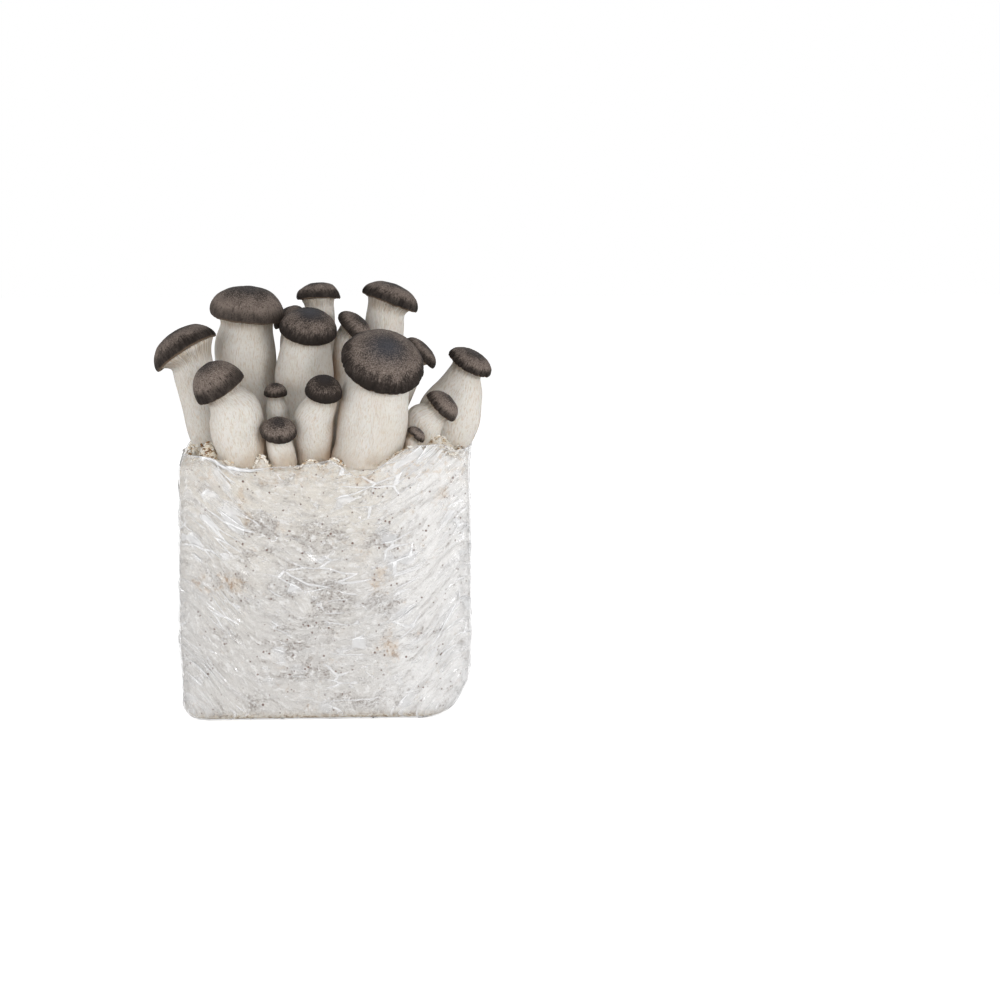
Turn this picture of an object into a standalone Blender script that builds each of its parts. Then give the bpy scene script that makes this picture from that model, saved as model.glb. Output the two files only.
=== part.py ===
"""Oyster mushroom grow kit: a block of colonised sawdust in a clear film bag, with mushrooms on top.

Blender works in metres here, while the table of mushrooms is in millimetres. +Z is up, +X is to
the right of the front and +Y is away from it. The origin is the middle of the bag's flat base.
"""
from collections import namedtuple
from math import atan2, cos, degrees, hypot, pi, radians, sin

import bmesh
import bpy
from mathutils import Vector, noise

MM = 0.001
GAP = 0.3 * MM                  # clearance between pieces that touch
UP = Vector((0, 0, 1))

# The block
BLOCK_WIDTH = 189 * MM
BLOCK_DEPTH = 121 * MM
BLOCK_TOP = 167 * MM            # height of its top above the surface it stands on
CORNER_ROUND = 20 * MM          # upright edges
FOOT_ROUND = 10 * MM            # edges round the base
BROW_ROUND = 5 * MM             # edges round the top
WALL_RINGS = 5                  # bands up a wall, between the edge loops that let it bulge
CROWN = 1.2 * MM                # how far a wall bows out at half its height
LUMP = 1.4 * MM                 # height of the lumps on the walls
LUMP_SPACING = 42 * MM
LUMP_RISE = 20 * MM             # height over which the lumps fade in above the rounded foot

# The film bag
FILM = 0.6 * MM                 # wall, thicker than real film so that it is a solid
FILM_GAP = 0.4 * MM             # from the block to the film

# The bag's rim by direction round the bag, in degrees from +X: its height above the block's top
# and how far it leans out from the wall, both in mm
RIM = (
    (-180, 8, -2), (-160, 9, -3), (-147, 11, -3), (-138, 9, -1), (-126, 3, 0), (-110, 2, 0),
    (-95, 4, 0), (-84, 6, 0), (-75, 1, 0), (-62, 1, 0), (-50, 8, 0), (-40, 14, 0), (-33, 15, 1),
    (-20, 11, 1), (-5, 5, 0), (15, 1, 0), (24, 3, 0), (33, 8, -2), (60, 7, -2), (90, 9, -2),
    (120, 7, -2), (147, 10, -3), (165, 7, -2), (180, 8, -2),
)

# Mushrooms
FLAT_END = 2.4 * MM             # straight length at each end of a stem, so that it ends square,
FLAT_SHARE = 0.09               # and what that grows by with the stem's radius
RIM_DEPTH = 0.13                # height of a cap's widest ring above its underside, of its radius
SEAT_EDGE = 1 * MM              # flat ring on a cap's underside, round the head of its stem
SPAN_STEPS = 2                  # stem segments between two waypoints
CAP_STEPS = 16                  # faces round a cap
DOME_ANGLES = (0, 20, 40, 58, 75, 90)

# foot: x, y and radius on the block's top. belly: x, y, height and radius of the stem on its way up.
# head: x, y, height and radius under the cap. All heights are above the block's top.
# lean: degrees to the right, then towards the front. cap: radius, and height above its widest ring.
# oval widens the cap along turn (degrees), as a share of its radius. saddle lifts the cap's margin
# along turn, and wedge lifts it on that side alone, both in mm.
Mushroom = namedtuple("Mushroom", "foot belly head lean cap oval saddle wedge turn")


def mushroom(foot, belly, head, lean, cap, oval=0.0, saddle=0.0, wedge=0.0, turn=0.0):
    """One mushroom's measures, with a round, level cap unless it says otherwise."""
    return Mushroom(foot, belly, head, lean, cap, oval, saddle, wedge, turn)


MUSHROOMS = (
    mushroom(foot=(-73, 0, 12), belly=((-78.5, 0, 21, 13.2), (-81.7, 0, 39, 13.8), (-85.7, 0, 56, 14)),
             head=(-91.4, 0, 73, 14), lean=(-32, -3), cap=(23.8, 13.5), saddle=1.5, turn=90),
    mushroom(foot=(-46, 33, 15), belly=((-49, 33, 38, 17.7), (-52, 32, 57, 20.2), (-53.6, 31, 76, 20.5)),
             head=(-51.9, 29.6, 96, 17), lean=(2, 12), cap=(26.2, 16.6)),
    mushroom(foot=(-54.5, -39, 14), belly=((-54, -39.5, 10, 16), (-56.7, -40, 23, 17.7), (-58.7, -41, 38, 17)),
             head=(-67, -42.5, 51, 12), lean=(-31, 12), cap=(17.7, 18)),
    mushroom(foot=(-30, -20, 7), belly=((-30.3, -20, 26, 7.6), (-31, -21, 36, 7.3)),
             head=(-32, -22.7, 46, 5.8), lean=(0, 12), cap=(8, 7)),
    mushroom(foot=(-27, -47.5, 8), belly=((-28, -48.2, 10, 8.8),),
             head=(-29.8, -51.4, 23, 8), lean=(0, 32), cap=(12.1, 9)),
    mushroom(foot=(-14, 8, 13), belly=((-13.5, 8, 39, 16.6), (-12.4, 8, 55, 18.8), (-11.7, 7, 70, 17.6)),
             head=(-10.3, 4, 85.3, 15.8), lean=(6, 23), cap=(19.8, 14.2)),
    mushroom(foot=(-7, -36, 10.5), belly=((-7.4, -37, 20, 13.2), (-6.4, -41, 33, 13)),
             head=(-0.5, -49, 48.8, 10), lean=(8, 30), cap=(12.4, 11)),
    mushroom(foot=(28.5, -37, 17), belly=((29, -37.6, 12, 21.8), (31.7, -38, 27, 23.2), (33.4, -38.6, 45, 22.7)),
             head=(38, -43.8, 66, 20), lean=(12, 40), cap=(28, 16), oval=0.03, turn=-35),
    mushroom(foot=(-3, 38, 9.5), belly=((-3, 38, 65, 10.2), (-2.4, 38, 93, 10.2)),
             head=(-3.1, 38, 106.5, 9.8), lean=(-6.5, -4), cap=(15.2, 9.7), wedge=1.5, turn=180),
    mushroom(foot=(39, 43, 13), belly=((40, 44, 64, 13.7), (41.8, 44, 87, 13.6)),
             head=(45, 44, 103.5, 12.8), lean=(21, 0), cap=(20.5, 11.2)),
    mushroom(foot=(12, 20, 8), belly=((12.3, 20, 46, 8.6), (14.3, 19, 70, 8.4)),
             head=(19.6, 17.4, 86.6, 7.8), lean=(42, 15), cap=(13.8, 8.6), oval=0.06, turn=150),
    mushroom(foot=(38, 12, 8), belly=((46, 15, 29, 8.2), (55, 19, 50, 8.2)),
             head=(64.2, 22, 69.2, 7.5), lean=(46, 3), cap=(14, 7)),
    mushroom(foot=(78.5, 20, 14.5), belly=((82, 20, 15, 19.5), (86, 20, 30.5, 21.6), (93, 19, 47, 15.8)),
             head=(98.5, 16.6, 62.2, 10.6), lean=(28, 15), cap=(16.4, 8)),
    mushroom(foot=(61.5, -16, 10.5), belly=((63.3, -16, 17, 12.4), (67.5, -16, 28, 13)),
             head=(77, -17.5, 36, 9.2), lean=(44, 12), cap=(13, 9)),
    mushroom(foot=(56.5, -36.5, 4), belly=((57.2, -36.8, 12, 4.6),),
             head=(59.7, -37.2, 19.5, 4.2), lean=(41, 10), cap=(7, 4.8)),
    mushroom(foot=(-22, 47, 7), belly=((-22.5, 47, 54, 7.6), (-22.3, 47, 78, 7.5)),
             head=(-22.8, 46, 92, 7.2), lean=(-35, 5), cap=(12, 7)),
)

COLOURS = {
    "block": (0.72, 0.66, 0.57, 1),
    "film": (0.86, 0.87, 0.88, 1),
    "stem": (0.84, 0.79, 0.72, 1),
    "cap": (0.075, 0.060, 0.055, 1),
}
ROUGHNESS = {"block": 0.9, "film": 0.25, "stem": 0.65, "cap": 0.75}


def clear_scene():
    """Removes whatever the file holds before the model is made."""
    for old in list(bpy.data.objects):
        bpy.data.objects.remove(old, do_unlink=True)


def new_material(name):
    """A plain Principled material in one of the kit's colours."""
    material = bpy.data.materials.new(name)
    material.use_nodes = True
    shader = material.node_tree.nodes["Principled BSDF"]
    shader.inputs["Base Color"].default_value = COLOURS[name]
    shader.inputs["Roughness"].default_value = ROUGHNESS[name]
    material.diffuse_color = COLOURS[name]
    return material


def add_piece(name, data, material, collection):
    """An object with its own material, in the kit's collection."""
    data.materials.append(material)
    piece = bpy.data.objects.new(name, data)
    collection.objects.link(piece)
    return piece


def mesh_from(bm, name):
    """Closes a bmesh into a mesh with its faces pointing out, shaded smooth but for its sharp edges."""
    bmesh.ops.recalc_face_normals(bm, faces=bm.faces)
    mesh = bpy.data.meshes.new(name)
    bm.to_mesh(mesh)
    bm.free()
    mesh.shade_smooth()
    mesh.set_sharp_from_angle(angle=radians(50))
    return mesh


# ---------------------------------------------------------------- block and bag

def lump_at(point, floor):
    """How far a wall stands proud of flat at a point, nothing at the foot or below."""
    rise = max(0.0, min(1.0, (point.z - floor - FOOT_ROUND) / LUMP_RISE))
    bow = CROWN * sin(pi * min(1.0, max(0.0, point.z / BLOCK_TOP)))
    lump = LUMP * noise.noise(Vector((point.x, point.y, point.z)) / LUMP_SPACING)
    return rise * (bow + lump)


def packed_form(grow, floor):
    """The block's rounded form, made larger all round by grow, from floor up to the block's top."""
    bm = bmesh.new()
    bmesh.ops.create_cube(bm, size=1)
    size = Vector((BLOCK_WIDTH + 2 * grow, BLOCK_DEPTH + 2 * grow, BLOCK_TOP - floor))
    bmesh.ops.scale(bm, vec=size, verts=bm.verts)
    bmesh.ops.translate(bm, vec=UP * (BLOCK_TOP + floor) / 2, verts=bm.verts)
    upright = [e for e in bm.edges if abs(e.verts[0].co.z - e.verts[1].co.z) > MM]
    bmesh.ops.bevel(bm, geom=upright, offset=CORNER_ROUND + grow, segments=4, profile=0.5,
                    affect="EDGES", material=-1)
    around_base = [e for e in bm.edges if max(v.co.z for v in e.verts) < floor + MM / 10]
    bmesh.ops.bevel(bm, geom=around_base, offset=FOOT_ROUND, segments=3, profile=0.5,
                    affect="EDGES", material=-1)
    return bm


def cut_across(bm):
    """Edge loops round the walls and up them, so that they have points to bulge at."""
    for ring in range(1, WALL_RINGS):
        cut(bm, UP * (FOOT_ROUND + (BLOCK_TOP - FOOT_ROUND) * ring / WALL_RINGS), UP)
    for share in (-0.6, -0.3, 0.0, 0.3, 0.6):
        cut(bm, Vector((share * BLOCK_WIDTH / 2, 0, 0)), Vector((1, 0, 0)))
    for share in (-0.3, 0.3):
        cut(bm, Vector((0, share * BLOCK_DEPTH / 2, 0)), Vector((0, 1, 0)))


def cut(bm, point, normal):
    bmesh.ops.bisect_plane(bm, geom=bm.verts[:] + bm.edges[:] + bm.faces[:], plane_co=point,
                           plane_no=normal, dist=1e-6)


def bulge(bm, floor):
    """Pushes the walls out along their own direction by the lumps there."""
    bm.normal_update()
    moves = [(v, outward(v.normal) * lump_at(v.co, floor)) for v in bm.verts]
    for vert, move in moves:
        vert.co += move


def outward(normal):
    """The level part of a direction, and nothing for a face that looks up or down."""
    level = Vector((normal.x, normal.y, 0))
    return level.normalized() if level.length > 0.5 else Vector()


def block_mesh():
    """The sawdust block, a rounded brick with softly lumpy walls and a flat top."""
    floor = FILM + GAP
    bm = packed_form(0.0, floor)
    around_top = [e for e in bm.edges if min(v.co.z for v in e.verts) > BLOCK_TOP - MM / 10]
    bmesh.ops.bevel(bm, geom=around_top, offset=BROW_ROUND, segments=2, profile=0.5,
                    affect="EDGES", material=-1)
    cut_across(bm)
    bulge(bm, floor)
    return mesh_from(bm, "block")


def rim_at(direction):
    """Height of the bag's rim above the block's top and its lean, in one direction in degrees."""
    for low, high in zip(RIM, RIM[1:]):
        if low[0] <= direction <= high[0]:
            share = (direction - low[0]) / (high[0] - low[0])
            return Vector(low[1:]).lerp(Vector(high[1:]), share) * MM
    return Vector(RIM[0][1:]) * MM


def bag_mesh():
    """The film bag's inner face: closed below, open above with an uneven rim that flares a little."""
    bm = packed_form(FILM_GAP, FILM)
    cut_across(bm)
    lid = [f for f in bm.faces if f.calc_center_median().z > BLOCK_TOP - MM / 10]
    bmesh.ops.delete(bm, geom=lid, context="FACES")
    bulge(bm, FILM)
    mouth = [e for e in bm.edges if e.is_boundary]
    raised = bmesh.ops.extrude_edge_only(bm, edges=mouth)["geom"]
    for vert in (g for g in raised if isinstance(g, bmesh.types.BMVert)):
        height, lean = rim_at(degrees(atan2(vert.co.y, vert.co.x)))
        vert.co += UP * height + vert.co.to_2d().normalized().to_3d() * lean
    return mesh_from(bm, "bag")


def add_block_and_bag(collection):
    add_piece("block", block_mesh(), new_material("block"), collection)
    bag = add_piece("bag", bag_mesh(), new_material("film"), collection)
    wall = bag.modifiers.new("Film", "SOLIDIFY")
    wall.thickness = FILM
    wall.offset = 1
    wall.use_even_offset = True


# ---------------------------------------------------------------- mushrooms

def cap_axis(lean):
    """The way a cap faces, from its lean to the right and towards the front in degrees."""
    right, front = radians(lean[0]), radians(lean[1])
    return Vector((sin(right) * cos(front), -sin(front), cos(right) * cos(front)))


def waypoint(x, y, height, radius):
    """A point of a stem, from its height above the block's top, with the radius there."""
    return Vector((x * MM, y * MM, BLOCK_TOP + height * MM, radius * MM))


def smooth_path(before, points, after):
    """A Catmull-Rom curve through points of place and radius, with one guide beyond each end."""
    guides = [before, *points, after]
    path = []
    for a, b, c, d in zip(guides, guides[1:], guides[2:], guides[3:]):
        for step in range(SPAN_STEPS):
            t = step / SPAN_STEPS
            path.append(0.5 * (2 * b + (c - a) * t + (2 * a - 5 * b + 4 * c - d) * t ** 2
                               + (3 * b - a - 3 * c + d) * t ** 3))
    return path + [points[-1]]


def stem_path(shape):
    """Centre and radius along a stem, square to the block at its foot and to the cap at its head."""
    x, y, radius = shape.foot
    foot = waypoint(x, y, GAP / MM, radius)
    head = waypoint(*shape.head)
    low = moved(foot, UP, flat_end(foot))
    high = moved(head, cap_axis(shape.lean), -flat_end(head))
    points = [low, *(waypoint(*w) for w in shape.belly), high]
    before = moved(points[1], UP, -2 * (points[1] - low).xyz.length)
    after = moved(points[-2], cap_axis(shape.lean), 2 * (high - points[-2]).xyz.length)
    before.w, after.w = low.w, high.w
    return [foot, *smooth_path(before, points, after), head]


def flat_end(end):
    """The straight length at an end of a stem, longer on a thick one."""
    return FLAT_END + FLAT_SHARE * end.w


def moved(place, direction, distance):
    """A point of a stem moved in one direction, with its radius as it was."""
    step = direction * distance
    return place + Vector((step.x, step.y, step.z, 0))


def stem_curve(name, shape):
    """A stem as a thick curve, whose points carry its swelling."""
    path = stem_path(shape)
    curve = bpy.data.curves.new(name, "CURVE")
    curve.dimensions = "3D"
    curve.bevel_depth = 1.0
    curve.bevel_resolution = 5 if max(p.w for p in path) > 11 * MM else 4
    curve.use_fill_caps = True
    spline = curve.splines.new("POLY")
    spline.points.add(len(path) - 1)
    for point, place in zip(spline.points, path):
        point.co = (place.x, place.y, place.z, 1)
        point.radius = place.w
    return curve


def cap_profile(shape):
    """Half the outline of a cap, from its crown down the outer side and in along the underside."""
    radius, height = (measure * MM for measure in shape.cap)
    widest = RIM_DEPTH * radius
    dome = [(radius * sin(radians(a)), widest + height * cos(radians(a))) for a in DOME_ANGLES]
    seat = shape.head[3] * MM
    return dome + [(radius * 0.965, widest * 0.3), (seat + SEAT_EDGE, 0.0), (0.0, 0.0)]


def turned(name, profile, steps):
    """A closed turned body from half its outline, as an object with a Screw modifier."""
    bm = bmesh.new()
    corners = [bm.verts.new((x, 0, z)) for x, z in profile]
    for upper, lower in zip(corners, corners[1:]):
        bm.edges.new((upper, lower))
    mesh = bpy.data.meshes.new(name)
    bm.to_mesh(mesh)
    bm.free()
    body = bpy.data.objects.new(name, mesh)
    screw = body.modifiers.new("Turn", "SCREW")
    screw.steps = screw.render_steps = steps
    screw.use_merge_vertices = True
    screw.merge_threshold = 0.00005
    return body


def made_mesh(body, collection):
    """The mesh that an object's modifiers give, which takes the object's place."""
    collection.objects.link(body)
    graph = bpy.context.evaluated_depsgraph_get()
    mesh = bpy.data.meshes.new_from_object(body.evaluated_get(graph))
    bpy.data.objects.remove(body, do_unlink=True)
    return mesh


def grow_unevenly(mesh, shape):
    """Makes a turned cap oval, saddled or lopsided beyond the ring where it sits on its stem."""
    radius = shape.cap[0] * MM
    seat = (shape.head[3] * MM + SEAT_EDGE) / radius
    for vert in mesh.vertices:
        out = hypot(vert.co.x, vert.co.y) / radius
        free = max(0.0, (out - seat) / (1 - seat))
        way = atan2(vert.co.y, vert.co.x) - radians(shape.turn)
        stretch = 1 + shape.oval * cos(2 * way) * free
        vert.co.x *= stretch
        vert.co.y *= stretch
        vert.co.z += (shape.saddle * cos(2 * way) + shape.wedge * cos(way)) * MM * free


def add_mushroom(number, shape, collection):
    stem_name, cap_name = f"stem_{number:02d}", f"cap_{number:02d}"
    add_piece(stem_name, stem_curve(stem_name, shape), new_material("stem"), collection)
    mesh = made_mesh(turned(cap_name, cap_profile(shape), CAP_STEPS), collection)
    grow_unevenly(mesh, shape)
    mesh.shade_smooth()
    cap = add_piece(cap_name, mesh, new_material("cap"), collection)
    axis = cap_axis(shape.lean)
    cap.location = waypoint(*shape.head).xyz + axis * GAP
    cap.rotation_euler = UP.rotation_difference(axis).to_euler()


def main():
    clear_scene()
    kit = bpy.data.collections.new("Oyster mushroom grow kit")
    bpy.context.scene.collection.children.link(kit)
    add_block_and_bag(kit)
    for number, shape in enumerate(MUSHROOMS, start=1):
        add_mushroom(number, shape, kit)


main()
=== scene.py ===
# %% [markdown]
# # Oyster mushroom grow kit
# A block of sawdust that white mycelium has grown through stands in a clear film bag. Sixteen
# thick-stemmed mushrooms with dark velvety caps grow out of its open top.

# %% The fixed frame
from collections import namedtuple
from math import atan2, ceil, cos, degrees, hypot, pi, radians, sin, tau
from random import Random

import bmesh
import bpy
from mathutils import Matrix, Vector, noise
from mathutils.kdtree import KDTree


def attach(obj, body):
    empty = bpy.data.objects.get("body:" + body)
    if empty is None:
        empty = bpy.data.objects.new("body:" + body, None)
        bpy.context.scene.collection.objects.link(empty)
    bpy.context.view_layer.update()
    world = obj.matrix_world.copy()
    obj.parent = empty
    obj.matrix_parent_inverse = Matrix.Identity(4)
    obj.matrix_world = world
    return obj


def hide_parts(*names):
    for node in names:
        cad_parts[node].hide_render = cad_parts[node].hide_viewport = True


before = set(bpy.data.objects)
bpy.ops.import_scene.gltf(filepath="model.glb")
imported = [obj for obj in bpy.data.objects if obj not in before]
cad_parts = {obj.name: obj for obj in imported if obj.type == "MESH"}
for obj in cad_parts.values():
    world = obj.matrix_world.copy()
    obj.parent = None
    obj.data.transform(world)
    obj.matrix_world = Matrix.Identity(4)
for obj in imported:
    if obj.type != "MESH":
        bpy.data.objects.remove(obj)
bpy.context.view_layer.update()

MM = 0.001
UP = Vector((0, 0, 1))

# %% [markdown]
# ## Camera and light
# The strongest soft box stands in front on the right. The weaker ones all round and the glow of a
# white room keep the shadows pale.

# %% Camera
CAMERA_DISTANCE = 1800 * MM
CAMERA_TILT = radians(7)
CAMERA_YAW = radians(3.80)
AIM_HEIGHT = 139.5 * MM
LENS, SENSOR = 95.66, 36        # mm


def placed(name, data):
    """A new object at the origin of the scene."""
    made = bpy.data.objects.new(name, data)
    bpy.context.scene.collection.objects.link(made)
    return made


camera = placed("Camera", bpy.data.cameras.new("Camera"))
camera.data.lens = LENS
camera.data.sensor_width = SENSOR
camera.data.sensor_fit = "HORIZONTAL"
camera.location = (0, -CAMERA_DISTANCE * cos(CAMERA_TILT), AIM_HEIGHT + CAMERA_DISTANCE * sin(CAMERA_TILT))
camera.rotation_euler = (pi / 2 - CAMERA_TILT, 0, -CAMERA_YAW)
bpy.context.scene.camera = camera
bpy.context.scene.view_settings.view_transform = "Standard"
print("camera at", [round(v, 3) for v in camera.location])


# %% Soft boxes, room and floor
def soft_box(name, place, size, power):
    light = bpy.data.lights.new(name, "AREA")
    light.shape = "SQUARE"
    light.size = size
    light.energy = power
    lamp = placed(name, light)
    lamp.location = place
    lamp.rotation_euler = (Vector(place) - MIDDLE).to_track_quat("Z", "Y").to_euler()


MIDDLE = Vector((0, 0, 0.16))
soft_box("key_light", (1.15, -1.75, 0.62), 0.7, 15)
soft_box("fill_light", (-1.2, -1.8, 0.35), 0.9, 7.5)
soft_box("left_light", (-1.7, -0.2, 0.35), 1.0, 10)
soft_box("front_light", (-0.35, -2.0, 0.5), 1.2, 7.5)
soft_box("right_light", (1.7, -0.2, 0.35), 1.0, 8)
soft_box("back_light", (0.2, 1.6, 1.4), 1.2, 4)

ROOM_GLOW = 0.36
world = bpy.data.worlds.new("White room")
world.use_nodes = True
room = world.node_tree
glow = room.nodes["Background"]
seen = room.nodes.new("ShaderNodeLightPath")
brightness = room.nodes.new("ShaderNodeMapRange")
brightness.inputs["To Min"].default_value = ROOM_GLOW
brightness.inputs["To Max"].default_value = 1.0
room.links.new(seen.outputs["Is Camera Ray"], brightness.inputs["Value"])
room.links.new(brightness.outputs["Result"], glow.inputs["Strength"])
glow.inputs["Color"].default_value = (1, 1, 1, 1)
bpy.context.scene.world = world

FLOOR_HALF = 6
bm = bmesh.new()
bmesh.ops.create_grid(bm, x_segments=1, y_segments=1, size=FLOOR_HALF)
floor_mesh = bpy.data.meshes.new("floor")
bm.to_mesh(floor_mesh)
bm.free()
floor = placed("floor", floor_mesh)


# %% [markdown]
# ## How the finishes are written
# Every finish here is a set of shader nodes. Wiring them one by one is long and hard to read, so a
# small class wraps a socket and lets Python's own operators add the Math nodes. Any other node
# comes from its method `node`.

# %% Shader sockets as expressions
HALF = (0.5, 0.5, 0.5)


class Wire:
    """A value that flows through a material: a socket and the node tree that it is in."""

    def __init__(self, tree, socket=None):
        self.tree = tree
        self.socket = socket

    def node(self, kind, settings, sockets, output=0):
        """A new node with its settings made, its sockets set or linked, and one output taken."""
        made = self.tree.nodes.new(kind)
        for name, value in settings.items():
            if name == "stops":
                set_stops(made.color_ramp, value)
            else:
                setattr(made, name, value)
        for name, value in sockets.items():
            plug(self.tree, value, made.inputs[name])
        return Wire(self.tree, made.outputs[output])

    def maths(self, operation, first, second=0.0):
        return self.node("ShaderNodeMath", {"operation": operation}, {0: first, 1: second})

    def vectors(self, operation, *values, output=0):
        return self.node("ShaderNodeVectorMath", {"operation": operation}, dict(enumerate(values)), output)

    def __add__(self, other):
        return self.maths("ADD", self, other)

    def __sub__(self, other):
        return self.maths("SUBTRACT", self, other)

    def __rsub__(self, other):
        return self.maths("SUBTRACT", other, self)

    def __mul__(self, other):
        return self.maths("MULTIPLY", self, other)

    __radd__ = __add__
    __rmul__ = __mul__


def plug(tree, value, socket):
    """Links a wire to a socket, or sets the socket to a plain value."""
    if isinstance(value, Wire):
        tree.links.new(value.socket, socket)
    else:
        socket.default_value = value


def set_stops(ramp, stops):
    """Gives a colour ramp its (position, colour) stops."""
    while len(ramp.elements) < len(stops):
        ramp.elements.new(1.0)
    for element, (position, colour) in zip(ramp.elements, stops):
        element.position = position
        element.color = colour


def smooth(value, low, high):
    """Nothing below low, one above high, and a soft step between them."""
    return value.node("ShaderNodeMapRange", {"interpolation_type": "SMOOTHSTEP"},
                      {"Value": value, "From Min": low, "From Max": high})


def blend(share, first, second):
    """One colour turning into another."""
    return share.node("ShaderNodeMix", {"data_type": "RGBA"}, {0: share, 6: first, 7: second}, 2)


def stretched(vector, x, y, z):
    """A vector with each of its axes multiplied, so that a pattern on it is drawn out."""
    return vector.vectors("MULTIPLY", vector, (x, y, z))


def cloud(vector, size, detail=2.0, roughness=0.5, output=0):
    """Soft random patches of about a size in the vector's units, from nothing to one."""
    sockets = {"Vector": vector, "Scale": 1 / size, "Detail": detail, "Roughness": roughness}
    return vector.node("ShaderNodeTexNoise", {}, sockets, output)


def cells(vector, size, output, feature="F1"):
    """Scattered cells of about a size: the output that is asked for at each point."""
    sockets = {"Vector": vector, "Scale": 1 / size}
    return vector.node("ShaderNodeTexVoronoi", {"feature": feature}, sockets, output)


def cracks(vector, size):
    """Distance from the nearest edge between scattered cells."""
    return cells(vector, size, "Distance", "DISTANCE_TO_EDGE")


def facets(vector, size):
    """A height that tilts each cell its own way, as flat bits of crumpled film do."""
    tilt = vector.vectors("SUBTRACT", cells(vector, size, "Color"), HALF)
    across = vector.vectors("SUBTRACT", vector, cells(vector, size, "Position"))
    return vector.vectors("DOT_PRODUCT", tilt, across, output="Value")


def warped(vector, size, amount):
    """A vector pushed about by noise, so that patterns on it curl."""
    push = vector.vectors("SUBTRACT", cloud(vector, size, output="Color"), HALF)
    return vector.vectors("MULTIPLY_ADD", push, (amount,) * 3, vector)


def layered(colour, *layers):
    """A colour with others laid over it, given as (share, colour) pairs."""
    for share, over in layers:
        colour = blend(share, colour, over)
    return colour


def relief(*layers):
    """A bump from (height, depth) pairs, each added to the one before."""
    before = {}
    for height, depth in layers:
        sockets = {"Height": height, "Distance": depth, "Strength": 1.0, **before}
        before["Normal"] = height.node("ShaderNodeBump", {}, sockets)
    return before["Normal"]


def dress(pieces, name, finish):
    """Gives pieces a new material. The finish takes a wire and returns the shader's values."""
    material = bpy.data.materials.new(name)
    material.use_nodes = True
    shader = material.node_tree.nodes["Principled BSDF"]
    for socket, value in finish(Wire(material.node_tree)).items():
        plug(material.node_tree, value, shader.inputs[socket])
    for piece in pieces:
        piece.data.materials.append(material)
    print("finish:", name)


def in_mm(wire, name=None):
    """Object coordinates, or a named attribute of the mesh, in millimetres."""
    if name:
        source = wire.node("ShaderNodeAttribute", {"attribute_name": name}, {}, "Vector")
    else:
        source = wire.node("ShaderNodeTexCoord", {}, {}, "Object")
    return stretched(source, 1 / MM, 1 / MM, 1 / MM)


def share_of(wire, name):
    """A named attribute of the mesh as a plain value."""
    return wire.node("ShaderNodeAttribute", {"attribute_name": name}, {}, "Fac")


def paper(wire):
    """Matt white that shows as evenly lit paper but throws no more light than paper does."""
    seen_directly = wire.node("ShaderNodeLightPath", {}, {}, "Is Camera Ray")
    lit = blend(seen_directly, (0, 0, 0, 1), (0.76, 0.76, 0.76, 1))
    return {"Base Color": (0.82, 0.82, 0.82, 1), "Roughness": 0.9,
            "Emission Color": lit, "Emission Strength": 1.0}


dress([floor], "paper", paper)

# %% [markdown]
# ## Measures
# These are the measures that the solids were made from, with the rim and three of the stems made a
# little finer. The skins follow the same lines: a stem runs through the same waypoints, and a cap
# sits in the same plane.

GAP = 0.3 * MM
BLOCK_WIDTH = 189 * MM
BLOCK_DEPTH = 121 * MM
BLOCK_TOP = 167 * MM
CORNER_ROUND = 20 * MM
FOOT_ROUND = 10 * MM
BROW_ROUND = 5 * MM
CROWN = 1.2 * MM
LUMP = 1.4 * MM
LUMP_SPACING = 42 * MM
LUMP_RISE = 20 * MM
FILM_GAP = 0.4 * MM

# The bag's rim: direction in degrees from +X, height above the block's top and lean outwards, in mm
RIM = (
    (-180, 8, -2), (-165, 9, -3), (-150, 10, -3), (-143, 9.5, -1), (-139.8, 8, 0), (-136.6, 3, 0),
    (-128, 0.5, 0), (-124, 1.5, 0), (-119, 2, 0), (-107, 3, 0), (-95, 4, 0), (-86.6, 6, 0),
    (-80, 2, 0), (-72, -4.5, 0), (-66, -4, 0), (-60, 1, 0), (-54.6, 7, 0), (-46, 15.5, 0),
    (-38.7, 16.5, 0), (-34, 11.5, 1), (-22.7, 15, 1), (-12, 10, 1), (-5, 5, 0), (15, 1, 0),
    (24, 3, 0), (33, 8, -2), (60, 7, -2), (90, 9, -2), (120, 7, -2), (147, 10, -3), (165, 7, -2),
    (180, 8, -2),
)

RIM_DEPTH = 0.13                # height of a cap's widest ring above its underside, of its radius
FLAT_END = 2.4 * MM
FLAT_SHARE = 0.09

# foot, belly and head: x, y, height above the block's top and radius (the foot's height is nothing).
# lean: degrees to the right and to the front. cap: radius and height. oval, saddle and wedge shape
# its margin, turned by turn. tone makes a cap lighter or darker, frill its margin more or less
# grooved, and flare is the radius of the stem where it meets the cap, of the cap's radius. band is
# where the cap is palest, from nothing at its middle to one at its margin: that band is partly the
# cap's own colour and partly painted light. bluish is how blue-grey its crown is. All in mm and
# degrees, or as shares.
MEASURES = "foot belly head lean cap oval saddle wedge turn tone frill flare band bluish"
Mushroom = namedtuple("Mushroom", MEASURES, defaults=(0.0, 0.0, 0.0, 0.0, 0.0, 0.22, 0.74, 0.72, 0.25))

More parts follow.
